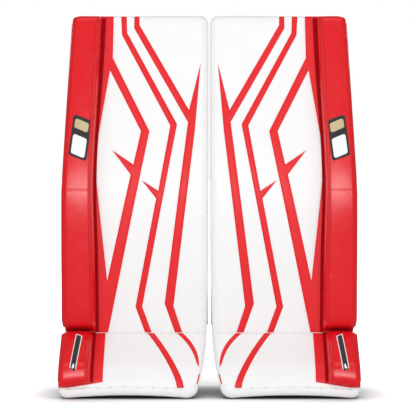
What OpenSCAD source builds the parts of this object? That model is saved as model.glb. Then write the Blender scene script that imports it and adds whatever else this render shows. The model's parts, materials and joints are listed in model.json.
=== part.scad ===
// A pair of ice hockey goalie leg pads, standing side by side on their boots.
// The front faces -Y, +Z is up, and the origin is on the floor between the pads.
// Inside a pad, x runs from its inner edge outwards; the right pad is the mirrored left pad.

/* [Pad] */
// Full width of one pad at the knee
pad_w = 279.4; // [260:0.1:300]
// Height of the pad as it stands
pad_h = 727; // [680:1:780]
// Gap between the two pads
pair_gap = 5.4; // [3:0.1:60]
// Height of the knee flex line
knee_z = 386; // [370:1:400]
// Height of the fold between shin and boot
boot_z = 114; // [106:1:122]
// Thickness of shin and thigh, front to back
pad_d = 52; // [46:1:60]
// How much narrower the outer edge gets from knee to top
top_taper = 15.7; // [5:0.1:22]

/* [Profile] */
// Forward lean of the shin, degrees
shin_lean = 4; // [1:0.5:7]
// Backward lean of the thigh rise, degrees
thigh_lean = 13; // [8:0.5:16]
// Forward slope of the boot, degrees from vertical
boot_slope = 52; // [44:1:54]
// Radius of the toe curve
toe_r = 75; // [65:1:78]
// Depth of the front face at the fold
ankle_y = -8; // [-20:1:0]
// Height of the arch under the toe
arch_h = 9; // [4:1:12]

/* [Outer roll] */
// Width of the raised roll at the shin
roll_w = 63; // [56:0.5:70]
// How far the roll stands in front of the face
roll_h = 22; // [16:1:26]
// Width of the bevel along both edges of the roll
roll_bevel = 9; // [6:1:12]

/* [Layers] */
// Thickness of the leather cover with its backing
cover_t = 3; // [2:0.1:3.5]
// Thickness of the moulded stiffening sheet
stiffener_t = 2.6; // [1.5:0.1:3]
// Thickness of the nylon back panel
back_t = 3.2; // [2:0.1:4]
// Thickness of a sewn-on graphic
inlay_t = 1.2; // [0.8:0.1:2]
// Gap between neighbouring layers
fit = 0.2; // [0.1:0.05:0.3]

/* [Leg channel] */
// Edge of the leg channel nearest the inner edge of the pad
channel_in = 74; // [68:1:80]
// Edge of the leg channel nearest the outer edge of the pad
channel_out = 202; // [196:1:208]
// Length of the calf wings, front to back
calf_wing_l = 104; // [90:1:110]
// Length of the knee wings, front to back
knee_wing_l = 84; // [70:1:90]
// Thickness of a wing
wing_t = 17; // [14:1:20]
// Thickness of the padded cradle
cradle_t = 9; // [6:1:12]

/* [Straps and toe tie] */
// Width of the webbing of the calf and knee straps
web_w = 38; // [25:1:40]
// Thickness of the webbing
web_t = 3; // [2:0.5:4]
// Radius of the bar that the toe tie turns on
bar_r = 3; // [2.5:0.5:4]
// Radius of the hole in the toe tie's end plate
clip_hole_r = 4; // [3:0.5:5]

/* [Knee and boot flex] */
// Wedge left open behind the knee for bending back, degrees
knee_wedge = 9.5; // [9:0.5:12]
// Slope of the shin's lower end behind the fold, degrees
shin_end_slope = 10; // [8:1:12]
// Slope of the boot's upper end behind the fold, degrees
boot_end_slope = 28; // [27:1:30]

/* [Hidden] */

white = [0.95, 0.95, 0.94];
red = [0.86, 0.09, 0.11];
dark = [0.12, 0.12, 0.13];
foam = [0.75, 0.77, 0.72];

far = 500;              // reaches past the whole pad in any direction
sole_z = 2.4;           // the cover ends this far above the floor, on its binding
knee_soft = 60;         // how gently the face bends at the knee
toe_end = -5;           // slope of the face at the floor, degrees
binding_h = 19;         // height of the binding on the toe
binding_t = 2.2;        // thickness of the binding
skin_t = 3;             // the roll's leather where it wraps the outer side
rear_y = 84;            // where the boot's side flaps end
flap_t = 13;            // thickness of a boot flap
liner_y = pad_d - back_t;
knee_pin_y = face_y(knee_z) - roll_h - 2;
frame_y = -20.7;        // moves the pads so that the origin is under their middle

// ---- the front face as a curve: its depth y at a height z ----
function bend(z) = let (d = z - knee_z) (d + sqrt(d * d + knee_soft * knee_soft)) / 2;
function leg_y(z) = ankle_y - tan(shin_lean) * (z - boot_z)
    + (tan(shin_lean) + tan(thigh_lean)) * (bend(z) - bend(boot_z));
toe_top = toe_r * (sin(boot_slope) - sin(toe_end));
function toe_y(z) = let (s = sin(toe_end) + z / toe_r) toe_r * (sqrt(1 - s * s) - cos(boot_slope));
function boot_y(z) = z > toe_top ? ankle_y - (boot_z - z) * tan(boot_slope)
    : ankle_y - (boot_z - toe_top) * tan(boot_slope) - toe_y(z);
function face_y(z) = z >= boot_z ? leg_y(z) : boot_y(z);
// length of the face per height, so that a lift across the face stays even
function steep(z) = let (dy = face_y(z + 0.5) - face_y(z - 0.5)) sqrt(1 + dy * dy);

// ---- edges of the pad at a height z ----
function outer_x(z) = pad_w - top_taper * max(0, z - knee_z) / (pad_h - knee_z);
function groove_x(z) = z < boot_z ? pad_w - roll_w - 2 + 7 * pow((boot_z - z) / boot_z, 1.5)
    : pad_w - roll_w - 2 - 8 * max(0, z - knee_z) / (pad_h - knee_z);
function steps(a, b, n) = [for (i = [0 : n]) a + (b - a) * i / n];
// heights from a to b, closer together at both ends
function eased(a, b, n) = [for (i = [0 : n]) a + (b - a) * (1 - cos(180 * i / n)) / 2];
// heights at which a layer's curve gets a corner: the toe arc and the leg are stepped, the boot is straight
function heights(a, b) = concat(
    a < toe_top ? steps(a, min(b, toe_top), 8) : [a],
    a < boot_z && b > boot_z ? [boot_z] : [],
    b > boot_z ? [for (i = [1 : 9]) let (low = max(a, boot_z)) low + (b - low) * i / 9]
        : b > toe_top ? [b] : []);
// rises from 0 to 1 as a round shoulder over the length r
function shoulder(t, r) = t >= r ? 1 : t <= 0 ? 0 : sqrt(1 - pow(1 - t / r, 2));
// a quarter turn of points about c
function corner(c, r, a) = [for (i = [0 : 3]) [c[0] + r * cos(a + 30 * i), c[1] + r * sin(a + 30 * i)]];

// ---- building blocks ----
// a (y, z) shape as a bar along x
module across(points, x0 = -far, x1 = far)
    translate([x0, 0, 0]) rotate([90, 0, 90]) linear_extrude(x1 - x0) polygon(points);
// an (x, z) shape as a bar along y
module through(points)
    rotate([90, 0, 0]) translate([0, 0, -far]) linear_extrude(2 * far) polygon(points);
// the layer of the pad between two depths behind the face
module layer(d0, d1, z0, z1) {
    zs = heights(z0, z1);
    last = len(zs) - 1;
    across(concat([for (z = zs) [face_y(z) + d0, z]],
                  [for (i = [0 : last]) [face_y(zs[last - i]) + d1, zs[last - i]]]));
}
// a closed skin over rings of points, each ring at one height
module loft(rings) {
    n = len(rings[0]);
    m = len(rings);
    polyhedron(
        points = [for (r = rings) for (p = r) p],
        faces = concat(
            [[for (i = [0 : n - 1]) n - 1 - i]],
            [[for (i = [0 : n - 1]) (m - 1) * n + i]],
            [for (k = [0 : m - 2]) for (i = [0 : n - 1]) let (j = (i + 1) % n)
                [k * n + i, k * n + j, (k + 1) * n + j, (k + 1) * n + i]]));
}
// the front view of the cover or of what lies inside it, drawn in by a margin
module front_view(margin) {
    lo = sole_z + margin;
    hi = pad_h - margin;
    tuck = 16;                        // how far the toe is drawn in on the inner side
    toe_in = tuck + margin;
    toe_out = pad_w - skin_t - fit - margin;
    mid = (toe_in + toe_out) / 2;
    half = (toe_out - toe_in) / 2;
    r = 16;
    arch = [for (i = [1 : 7]) let (x = toe_in + r + (toe_out - toe_in - 2 * r) * i / 8)
        [x, lo + arch_h * (1 - pow((x - mid) / (half - r), 2))]];
    through(concat(
        [[margin, boot_z - 14]],
        [[toe_in - 0.6, lo + r + 8]],
        corner([toe_in + r, lo + r], r, 180),
        arch,
        corner([toe_out - r, lo + r], r, 270),
        [[toe_out, knee_z], [toe_out - top_taper * (hi - knee_z) / (pad_h - knee_z), hi]],
        [[margin + 6, hi], [margin, hi - 6]]));
}
// the parts of space that belong to the thigh, the shin and the boot
module thigh_zone()
    across([[-far, knee_z], [far, knee_z], [far, 2 * far], [-far, 2 * far]]);
module shin_zone() {
    top = knee_z - fit;
    across([
        [-far, top], [knee_pin_y, top], [far, top - tan(knee_wedge) * (far - knee_pin_y)],
        [far, boot_z - tan(shin_end_slope) * (far - ankle_y)], [ankle_y, boot_z],
        [ankle_y - 40, boot_z + 48], [-far, boot_z + 48]]);
}
module boot_zone() {
    top = boot_z - fit;
    across([
        [-far, -1], [far, -1], [far, top - tan(boot_end_slope) * (far - ankle_y)],
        [ankle_y, top], [ankle_y - 36, top + 18], [-far, top + 18]]);
}
// a soft block standing on a chamfered rectangle
module block(x0, x1, y0, y1, z0, z1, c = 6)
    translate([0, 0, z0]) linear_extrude(z1 - z0)
        polygon([[x0 + c, y0], [x1 - c, y0], [x1, y0 + c], [x1, y1 - c],
                 [x1 - c, y1], [x0 + c, y1], [x0, y1 - c], [x0, y0 + c]]);

// ---- cover, core, stiffener and back panel ----
module cover(z0, z1) {
    difference() {
        intersection() { layer(0, pad_d, z0, z1); front_view(0); }
        intersection() { layer(cover_t, far, z0, z1); front_view(cover_t); }
    }
}
module filling(d0, d1, z0, z1)
    intersection() { layer(d0, d1, z0, z1); front_view(cover_t + fit); }

module shin_cover() color(white) intersection() { cover(boot_z - 40, knee_z); shin_zone(); }
module thigh_cover() color(white) intersection() { cover(knee_z, pad_h); thigh_zone(); }
module boot_cover() color(white) intersection() { cover(0, boot_z); boot_zone(); }
module shin_core() color(foam) intersection() {
    filling(cover_t + fit, liner_y - stiffener_t - 2 * fit, boot_z - 40, knee_z);
    shin_zone();
}
module thigh_core() color(foam) intersection() {
    filling(cover_t + fit, liner_y - fit, knee_z, pad_h);
    thigh_zone();
}
module boot_core() color(foam) intersection() {
    filling(cover_t + fit, liner_y - fit, 0, boot_z);
    boot_zone();
}
module shin_stiffener() color(dark) intersection() {
    filling(liner_y - stiffener_t - fit, liner_y - fit, boot_z - 40, knee_z);
    shin_zone();
}
module shin_back_panel() color(dark) intersection() {
    filling(liner_y, pad_d, boot_z - 40, knee_z);
    shin_zone();
}
module thigh_back_panel() color(dark) intersection() {
    filling(liner_y, pad_d, knee_z, pad_h);
    thigh_zone();
}

// ---- graphics: outlines on a pad of the nominal size, stretched to the pad's own size ----
nominal_w = 279.4;
nominal_h = 727;
function on_pad(points) = [for (p = points) [p[0] * pad_w / nominal_w, p[1] * pad_h / nominal_h]];
// the red panel beside the groove, from the top down its ragged edge and back up the groove
side_panel = [[184, 727], [185, 640], [112.5, 497], [195.7, 112.5], [215.6, 112.5],
              [215.6, 386], [207.6, 727]];
// the white shard inside that panel, with one thorn
shard = [[190.2, 615.6], [129.1, 497], [143, 433.3], [183.9, 460.4], [147.8, 413.6],
         [193.2, 210.4], [216, 424], [216, 458]];
// the middle bolt, with one thorn pointing outwards
middle_bolt = [[170.3, 727], [167.7, 684.8], [72.5, 507.8], [95.2, 382.3], [126.8, 403.2],
               [99.2, 368.2], [138.8, 159.9], [120.7, 112.5], [107.7, 112.5],
               [126.2, 160.1], [59.7, 510.5], [157.4, 689.6], [158.8, 727]];
// the inner bolt, with one thorn pointing up
inner_bolt = [[144.2, 727], [143.9, 698.3], [38.7, 514.4], [83, 166.2], [63.8, 112.5],
              [50.1, 112.5], [66, 160.8], [24.9, 500], [14.1, 629.5], [36.5, 537.9],
              [133.7, 705.2], [133.9, 727]];
// how far a bolt on the boot has swung over at a height
function sweep(z, foot, run, z0) = foot + run * pow(max(0, z - z0) / (boot_z - z0), 1.5);
module boot_bolt(foot, run, width, z0) {
    zs = steps(z0, boot_z, 6);
    through(concat([for (z = zs) [sweep(z, foot, run, z0), z]],
                   [for (i = [0 : 6]) [sweep(zs[6 - i], foot, run, z0) + width, zs[6 - i]]]));
}
module bolts(z0, z1) intersection() {
    layer(-inlay_t, -0.05, z0, z1);
    union() {
        difference() { through(on_pad(side_panel)); through(on_pad(shard)); }
        through(on_pad(middle_bolt));
        through(on_pad(inner_bolt));
    }
    translate([0, -far, 0]) cube([pad_w, 2 * far, pad_h - 6]);
}
module shin_graphics() color(red) intersection() { bolts(boot_z, knee_z); shin_zone(); }
module thigh_graphics() color(red) intersection() { bolts(knee_z, pad_h); thigh_zone(); }
module boot_graphics() color(red) intersection() {
    low = sole_z + binding_h + 12;
    layer(-inlay_t, -0.05, low, boot_z);
    boot_zone();
    union() {
        boot_bolt(44.5, 59.2, 13, low - 6);
        boot_bolt(17, 32, 12, 45);
        through([[196.5, low], [217.5, low], [215.6, boot_z], [195.7, boot_z]]);
    }
}

// ---- the raised outer roll, which also wraps the outer side of the pad ----
function roll_ring(z, lift) = let (
    f = face_y(z), g = groove_x(z) + 2, o = outer_x(z), h = lift * steep(z), b = roll_bevel) [
    [g, f - fit, z], [g, f - 0.45 * h, z], [g + 0.3 * b, f - 0.82 * h, z], [g + b, f - h, z],
    [o - b, f - h, z], [o - 0.3 * b, f - 0.82 * h, z], [o, f - 0.45 * h, z],
    [o, f + pad_d - 1, z], [o - skin_t, f + pad_d - 1, z], [o - skin_t, f - fit, z]];
module roll(zs, low_r, high_r, lift) {
    z0 = zs[0];
    z1 = zs[len(zs) - 1];
    loft([for (z = zs) roll_ring(z,
        lift * (0.55 + 0.45 * min(shoulder(z - z0, low_r), shoulder(z1 - z, high_r))))]);
}
module shin_roll() color(red) intersection() {
    roll(concat([boot_z - 10, boot_z + 6], steps(boot_z + 26, knee_z - 12, 9),
                [knee_z - 5, knee_z - fit]), 1, 7, roll_h);
    shin_zone();
}
module thigh_roll() color(red)
    roll(concat([knee_z, knee_z + 5], steps(knee_z + 12, pad_h - 16, 10),
                [pad_h - 9, pad_h - 4, pad_h - 1]), 7, 15, roll_h);
module boot_roll() color(red) intersection() {
    roll(concat([sole_z + binding_h + 3], steps(sole_z + binding_h + 8, toe_top, 7),
                [toe_top + 12, boot_z - 18, boot_z - 0.01, boot_z + 18]), 26, 1, 0.88 * roll_h);
    boot_zone();
}

// ---- boot: binding, liner with side flaps, toe bridge and lacing ----
module boot_binding() color(white) {
    difference() {
        intersection() {
            layer(-binding_t, pad_d - 14, 0, sole_z + binding_h + 10);
            translate([0, 0, -binding_t]) front_view(-fit);
            translate([0, -far, 0]) cube([pad_w, 2 * far, sole_z + binding_h]);
        }
        intersection() {
            layer(-fit, far, 0, sole_z + binding_h + 10);
            front_view(-fit);
        }
    }
}
// a side flap of the boot: it stands on the floor, ends in a round heel and is sewn to the liner
module boot_flap(x0) {
    r = 14;
    seam_z = sole_z + arch_h + cover_t + 2;
    high = heights(seam_z, boot_z);
    low = steps(0, seam_z, 2);
    intersection() {
        across(concat(
            [[rear_y - r, 0]],
            corner([rear_y - r, r], r, 270),
            [[rear_y, boot_z]],
            [for (i = [1 : len(high)]) let (z = high[len(high) - i]) [face_y(z) + pad_d - 1, z]],
            [for (i = [0 : 2]) [face_y(low[2 - i]) + pad_d + fit, low[2 - i]]]), x0, x0 + flap_t);
        translate([0, 0, -1]) boot_zone();
    }
}
module boot_liner() color(dark) {
    intersection() { filling(liner_y, pad_d, 0, boot_z - 2); boot_zone(); }
    boot_flap(channel_in - flap_t);
    boot_flap(channel_out);
}
// where the toe tie turns, just behind the liner near the floor
bridge_x = (channel_in + channel_out) / 2;
bridge_z = 34;
bridge_y = face_y(bridge_z) + pad_d + 14;
ear_gap = 32;
ear_t = 4;
module ear(x0) across(concat(
    [[bridge_y - 24, bridge_z + bar_r + 4]],
    [[bridge_y - 24, bridge_z - bar_r - 4]],
    [for (a = steps(-90, 90, 8)) [bridge_y + (bar_r + 4) * cos(a), bridge_z + (bar_r + 4) * sin(a)]]),
    x0, x0 + ear_t);
module toe_bridge() color(dark) {
    intersection() {
        layer(pad_d + fit, far / 2, bridge_z - 14, bridge_z + 14);
        union() {
            ear(bridge_x - ear_gap / 2 - ear_t);
            ear(bridge_x + ear_gap / 2);
        }
    }
    intersection() {
        layer(pad_d + fit, pad_d + 3.4, bridge_z - 14, bridge_z + 14);
        translate([bridge_x - 24, -far, 0]) cube([48, 2 * far, far]);
    }
    translate([bridge_x - ear_gap / 2 - ear_t, bridge_y, bridge_z]) rotate([0, 90, 0])
        cylinder(r = bar_r, h = ear_gap + 2 * ear_t, $fn = 48);
}
// the elastic toe tie: a loop around the bar, the band and an end plate with a hole
tie_l = 58;
band_w = 26;
module toe_tie() color(dark) translate([bridge_x, bridge_y, bridge_z]) {
    plate_l = 26;
    plate_t = 4;
    difference() {
        union() {
            translate([-band_w / 2, 0, 0]) rotate([0, 90, 0])
                cylinder(r = bar_r + 2.6, h = band_w, $fn = 48);
            translate([-band_w / 2, 0, -web_t / 2]) cube([band_w, tie_l - plate_l + 4, web_t]);
            translate([0, tie_l - plate_l / 2, -plate_t / 2])
                cylinder(r = plate_l / 2, h = plate_t, $fn = 64);
        }
        translate([-band_w / 2 - 1, 0, 0]) rotate([0, 90, 0])
            cylinder(r = bar_r + 0.1, h = band_w + 2, $fn = 48);
        translate([0, tie_l - plate_l / 2, -plate_t])
            cylinder(r = clip_hole_r, h = 2 * plate_t, $fn = 48);
    }
}
// short laces along the fold, on the face just above it
module break_lacing() color(white)
    intersection() {
        layer(-inlay_t - 0.6, -inlay_t - 0.05, boot_z - 14, boot_z);
        boot_zone();
        for (i = [0 : 7]) translate([16 + 25 * i, -far, boot_z - 9]) cube([4, 2 * far, 7]);
    }

// ---- knee block and cradle behind the shin ----
cradle_top = knee_z - 26;
function back_y(z) = face_y(z) + pad_d;
module leg_cradle() color(dark) intersection() {
    layer(pad_d + fit, pad_d + cradle_t, boot_z + 22, cradle_top);
    translate([channel_in + 2, -far, 0]) cube([channel_out - channel_in - 4, 2 * far, far]);
}
module knee_block() color(white) {
    y0 = back_y(cradle_top - 74) + 1;
    block(8, channel_in - 2, y0, y0 + 26, cradle_top - 74, cradle_top + 4);
    block(12, channel_in - 6, y0 + 26.3, y0 + 44, cradle_top - 68, cradle_top - 2);
}

// ---- wings: padded plates that hinge at the back of the pad and hug the leg ----
// side is 1 for the wing on the outer side of the leg and -1 for the inner one
function wing_ring(z, x, y, side, length) = let (
    n = 6, t = wing_t,
    skin = [for (i = [0 : n]) let (s = i / n) [6 * sin(180 * s) - 8 * s * s, s * (length - t / 2)]],
    tip = skin[n]) concat(
    [for (p = skin) [x + side * p[0], y + p[1], z]],
    [for (a = [45, 90, 135]) [x + side * (tip[0] - t / 2 + t / 2 * cos(a)), y + tip[1] + t / 2 * sin(a), z]],
    [for (i = [0 : n]) [x + side * (skin[n - i][0] - t), y + skin[n - i][1], z]]);
module wing(x, side, z0, z1, length) {
    r = 34;
    rings = [for (z = eased(z0, z1, 9)) wing_ring(z, x, back_y(z) + 1.2, side,
        length * (0.72 + 0.28 * min(shoulder(z - z0, r), shoulder(z1 - z, r))))];
    loft(side > 0 ? rings : [for (r = rings) [for (i = [1 : len(r)]) r[len(r) - i]]]);
}
calf_z0 = boot_z + 38;
calf_z1 = 304;
wing_z0 = knee_z + 20;
wing_z1 = knee_z + 158;
module inner_calf_wing() color(dark) wing(channel_in - wing_t, -1, calf_z0, calf_z1 - 24, calf_wing_l);
module outer_calf_wing() color(dark) wing(channel_out + wing_t, 1, calf_z0, calf_z1, calf_wing_l);
module inner_knee_wing() color(dark) wing(channel_in - wing_t, -1, wing_z0, wing_z1 - 30, knee_wing_l);
module outer_knee_wing() color(dark) wing(channel_out + wing_t, 1, wing_z0, wing_z1, knee_wing_l);

// ---- straps: webbing that crosses behind the leg, from the outer wing to the inner one ----
calf_strap_z = 214;
knee_strap_z = wing_z0 + 54;
boot_strap_z = 44;
strap_gap = 7;                            // room for a wing to swing past its strap
strap_x = channel_out + wing_t - 6;       // where a strap is sewn to its outer wing
strap_end = channel_in - wing_t - 4;
tip_x = channel_in - wing_t / 2 + 8;      // middle of the inner wing's tip
function slope(z) = atan((back_y(z + 20) - back_y(z - 20)) / 40);
calf_strap_y = back_y(calf_strap_z) + calf_wing_l + strap_gap;
knee_strap_y = back_y(knee_strap_z) + knee_wing_l + strap_gap;
// a strap that leans with the wings: z is the height of its middle, y its front face
module strap(z, y, lean, height) translate([0, y, z]) rotate([-lean, 0, 0]) {
    translate([strap_end, 0, -height / 2]) cube([strap_x - strap_end, web_t, height]);
    translate([strap_x, web_t / 2, -height / 2]) cylinder(r = web_t / 2 + 1, h = height, $fn = 32);
}
module calf_strap() color(dark) strap(calf_strap_z, calf_strap_y, slope(calf_strap_z), web_w);
module knee_strap() color(dark) strap(knee_strap_z, knee_strap_y, slope(knee_strap_z), web_w);
module boot_strap() color(dark) strap(boot_strap_z, rear_y + 2, 0, 30);
// the patch of loop fastener on the tip of the inner calf wing
patch_t = 1.6;
module calf_patch() color(dark)
    translate([tip_x - 7, calf_strap_y, calf_strap_z]) rotate([-slope(calf_strap_z), 0, 0])
        translate([0, -3.2 - patch_t, -16]) cube([12, patch_t, 32]);

// ---- the two pads ----
module left() translate([pair_gap / 2, frame_y, 0]) children();
module right() mirror([1, 0, 0]) left() children();

left() shin_cover();  // left_shin_cover
left() shin_core();  // left_shin_core
left() shin_graphics();  // left_shin_graphics
left() shin_roll();  // left_shin_roll
left() shin_back_panel();  // left_shin_back_panel
left() shin_stiffener();  // left_shin_stiffener
left() knee_block();  // left_knee_block
left() leg_cradle();  // left_leg_cradle
left() thigh_cover();  // left_thigh_cover
left() thigh_core();  // left_thigh_core
left() thigh_graphics();  // left_thigh_graphics
left() thigh_roll();  // left_thigh_roll
left() thigh_back_panel();  // left_thigh_back_panel
left() boot_cover();  // left_boot_cover
left() boot_core();  // left_boot_core
left() boot_graphics();  // left_boot_graphics
left() boot_roll();  // left_boot_roll
left() boot_binding();  // left_boot_binding
left() boot_liner();  // left_boot_liner
left() toe_bridge();  // left_toe_bridge
left() break_lacing();  // left_break_lacing
left() inner_calf_wing();  // left_inner_calf_wing
left() outer_calf_wing();  // left_outer_calf_wing
left() inner_knee_wing();  // left_inner_knee_wing
left() outer_knee_wing();  // left_outer_knee_wing
left() calf_strap();  // left_calf_strap
left() calf_patch();  // left_calf_patch
left() knee_strap();  // left_knee_strap
left() boot_strap();  // left_boot_strap
left() toe_tie();  // left_toe_tie
right() shin_cover();  // right_shin_cover
right() shin_core();  // right_shin_core
right() shin_graphics();  // right_shin_graphics
right() shin_roll();  // right_shin_roll
right() shin_back_panel();  // right_shin_back_panel
right() shin_stiffener();  // right_shin_stiffener
right() knee_block();  // right_knee_block
right() leg_cradle();  // right_leg_cradle
right() thigh_cover();  // right_thigh_cover
right() thigh_core();  // right_thigh_core
right() thigh_graphics();  // right_thigh_graphics
right() thigh_roll();  // right_thigh_roll
right() thigh_back_panel();  // right_thigh_back_panel
right() boot_cover();  // right_boot_cover
right() boot_core();  // right_boot_core
right() boot_graphics();  // right_boot_graphics
right() boot_roll();  // right_boot_roll
right() boot_binding();  // right_boot_binding
right() boot_liner();  // right_boot_liner
right() toe_bridge();  // right_toe_bridge
right() break_lacing();  // right_break_lacing
right() inner_calf_wing();  // right_inner_calf_wing
right() outer_calf_wing();  // right_outer_calf_wing
right() inner_knee_wing();  // right_inner_knee_wing
right() outer_knee_wing();  // right_outer_knee_wing
right() calf_strap();  // right_calf_strap
right() calf_patch();  // right_calf_patch
right() knee_strap();  // right_knee_strap
right() boot_strap();  // right_boot_strap
right() toe_tie();  // right_toe_tie
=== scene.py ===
"""The looks of a pair of ice hockey goalie leg pads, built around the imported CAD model.

Every shape is worked out in millimetres on one pad: x from the pad's inner edge outwards, y and z as in
the row frame. The finished mesh is placed once for the left pad and mirrored for the right one.
"""

import json
import math

import bpy
import numpy as np
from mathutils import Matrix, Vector
from mathutils.geometry import delaunay_2d_cdt


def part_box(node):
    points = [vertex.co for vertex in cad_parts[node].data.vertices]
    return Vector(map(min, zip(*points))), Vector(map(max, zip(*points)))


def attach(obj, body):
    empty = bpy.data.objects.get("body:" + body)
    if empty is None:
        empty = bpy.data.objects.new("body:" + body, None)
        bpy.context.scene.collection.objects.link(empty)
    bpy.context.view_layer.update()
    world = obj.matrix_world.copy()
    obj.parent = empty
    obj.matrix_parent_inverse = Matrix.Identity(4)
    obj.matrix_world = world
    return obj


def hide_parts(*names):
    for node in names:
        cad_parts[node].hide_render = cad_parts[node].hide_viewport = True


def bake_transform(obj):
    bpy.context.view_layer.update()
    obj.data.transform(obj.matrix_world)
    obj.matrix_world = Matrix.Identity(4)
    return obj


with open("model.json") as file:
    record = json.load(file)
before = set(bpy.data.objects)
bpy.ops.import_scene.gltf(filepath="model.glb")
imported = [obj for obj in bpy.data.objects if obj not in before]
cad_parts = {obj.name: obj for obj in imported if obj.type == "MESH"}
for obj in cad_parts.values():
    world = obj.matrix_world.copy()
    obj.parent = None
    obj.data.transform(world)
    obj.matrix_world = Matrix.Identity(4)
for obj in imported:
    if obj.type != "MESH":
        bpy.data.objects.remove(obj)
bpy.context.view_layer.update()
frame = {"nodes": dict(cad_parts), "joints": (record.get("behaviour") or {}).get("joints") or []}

MM = 0.001
JOINTS = {joint["name"]: joint for joint in frame["joints"]}


def node_box(node):
    """The lowest and highest corner of a CAD node of the left pad, in mm."""
    low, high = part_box("left_" + node)
    return np.array(low) / MM, np.array(high) / MM


# ---------------------------------------------------------------- sizes, from the frame
INNER_X = node_box("thigh_cover")[0][0]
TOP_Z = node_box("thigh_cover")[1][2]
KNEE_PIN_Y, KNEE_Z = (v / MM for v in JOINTS["left_knee_flex"]["pos_m"][1:])
FOLD_Y, FOLD_Z = (v / MM for v in JOINTS["left_boot_flex"]["pos_m"][1:])
PAD_W = node_box("shin_roll")[1][0] - INNER_X
PAD_D = 52.0                       # thickness of the leg, front to back
ROLL_H = 21.0                      # height of the outer roll over the face
GROOVE_X = PAD_W - 65              # inner edge of the outer roll
TOP_TAPER = 15.7                   # how far the outer edge comes in from the knee to the top
FOLD_TAPER, FOLD_TAPER_H = 5, 26   # how far it comes in at the fold, and over what height
GROOVE_TAPER, GROOVE_STEP = 8, 5   # the roll's inner edge comes in towards the top and steps out at the fold
GROOVE_BOW, BOW_MIDDLE, BOW_H = 4.8, 45, 140   # and bows outwards around a height over the knee
FOLD_IN, TOE_IN = 2.5, 23          # how far the inner wall comes in at the fold, and then to the toe
CHANNEL = (74.0, 202.0)            # the leg lies between these, behind the pad
WING_T = 17.0                      # thickness of a wing
BACK_GAP = 1.2                     # the wings start this far behind the back panel

SHIN_LEAN, THIGH_LEAN, BOOT_SLOPE, TOE_END = (math.radians(a) for a in (4, 13, 52, -5))
KNEE_SOFT = 60.0                   # how gently the face bends at the knee
ACROSS_KNEE = ((KNEE_PIN_Y, KNEE_Z - 40), (KNEE_PIN_Y, KNEE_Z + 40))   # (y, z) points below and above the knee, given to place() as blend
TOE_R = 75.0                       # rounding of the toe, seen from the side
TOE_TOP = TOE_R * (math.sin(BOOT_SLOPE) - math.sin(TOE_END))
LEG = ("shin", "thigh")

NEAR_GLOW, FAR_GLOW = 0.50, 0.85      # light the floor gives off beside and far from the pads
ROOM_LIGHT, ROOM_SHEEN = 0.57, 0.12   # light from all around, and how bright it is in reflections


def ramp(t):
    """Eases from 0 to 1 as t does."""
    t = np.clip(t, 0, 1)
    return t * t * (3 - 2 * t)


def shoulder(t, r):
    """Rises from 0 to 1 as a quarter circle over the length r."""
    t = np.clip(np.asarray(t, float) / r, 0, 1)
    return np.sqrt(1 - (1 - t) ** 2)


def dip(t, width):
    """A soft bump of height 1 around t = 0."""
    return np.exp(-(t / width) ** 2)


def as_points(*axes):
    """Points from a row or a single number for each coordinate."""
    return np.stack(np.broadcast_arrays(*axes), 1)


def face_y(z):
    """Depth of the pad's front face at a height."""
    z = np.asarray(z, float)

    def bend(height):
        above = height - KNEE_Z
        return (above + np.hypot(above, KNEE_SOFT)) / 2

    leg = FOLD_Y - math.tan(SHIN_LEAN) * (z - FOLD_Z)
    leg = leg + (math.tan(SHIN_LEAN) + math.tan(THIGH_LEAN)) * (bend(z) - bend(FOLD_Z))
    boot = FOLD_Y - (FOLD_Z - z) * math.tan(BOOT_SLOPE)
    turn = np.clip(math.sin(TOE_END) + z / TOE_R, -0.99, 0.99)
    toe = FOLD_Y - (FOLD_Z - TOE_TOP) * math.tan(BOOT_SLOPE)
    toe = toe - TOE_R * (np.sqrt(1 - turn * turn) - math.cos(BOOT_SLOPE))
    return np.where(z >= FOLD_Z, leg, np.where(z > TOE_TOP, boot, toe))


def back_y(z):
    """Depth of the pad's back at a height."""
    return face_y(z) + PAD_D


def face_normal(z, boot):
    """(y, z) of the unit normal out of the face; boot says on which side of the fold the point lies."""
    z = np.asarray(z, float)
    low, high = (z - 1, np.minimum(z + 1, FOLD_Z - 0.01)) if boot else (np.maximum(z - 1, FOLD_Z), z + 1)
    rise = (face_y(high) - face_y(low)) / np.maximum(high - low, 1e-3)
    length = np.sqrt(1 + rise * rise)
    return -1 / length, rise / length


def on_face(x, z, lift, boot):
    """Points that stand lift over the face."""
    ny, nz = face_normal(z, boot)
    return as_points(x, face_y(z) + lift * ny, z + lift * nz)


def outer_x(z):
    """The roll's outer edge, which comes in towards the top and just above the fold."""
    z = np.asarray(z, float)
    top = TOP_TAPER * np.maximum(0, z - KNEE_Z) / (TOP_Z - KNEE_Z)
    fold = np.where(z >= FOLD_Z, FOLD_TAPER * (1 - ramp((z - FOLD_Z) / FOLD_TAPER_H)), 0)
    return PAD_W - top - fold


def groove_x(z):
    """The roll's inner edge."""
    z = np.asarray(z, float)
    above = GROOVE_TAPER * np.maximum(0, z - KNEE_Z) / (TOP_Z - KNEE_Z)
    below = np.where(z < FOLD_Z, GROOVE_STEP, 0)
    return GROOVE_X - above + below + GROOVE_BOW * dip(z - KNEE_Z - BOW_MIDDLE, BOW_H)


def inner_x(z):
    """How far the inner wall comes in: a little at the fold, and more towards the toe."""
    z = np.asarray(z, float)
    above = FOLD_IN * (1 - ramp((z - FOLD_Z) / 150))
    below = FOLD_IN + TOE_IN * np.clip(1 - z / FOLD_Z, 0, 1) ** 1.6
    return np.where(z >= FOLD_Z, above, below)


# ---------------------------------------------------------------- small geometry tools
def closed(line):
    return np.concatenate([line, line[:1]])


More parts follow.
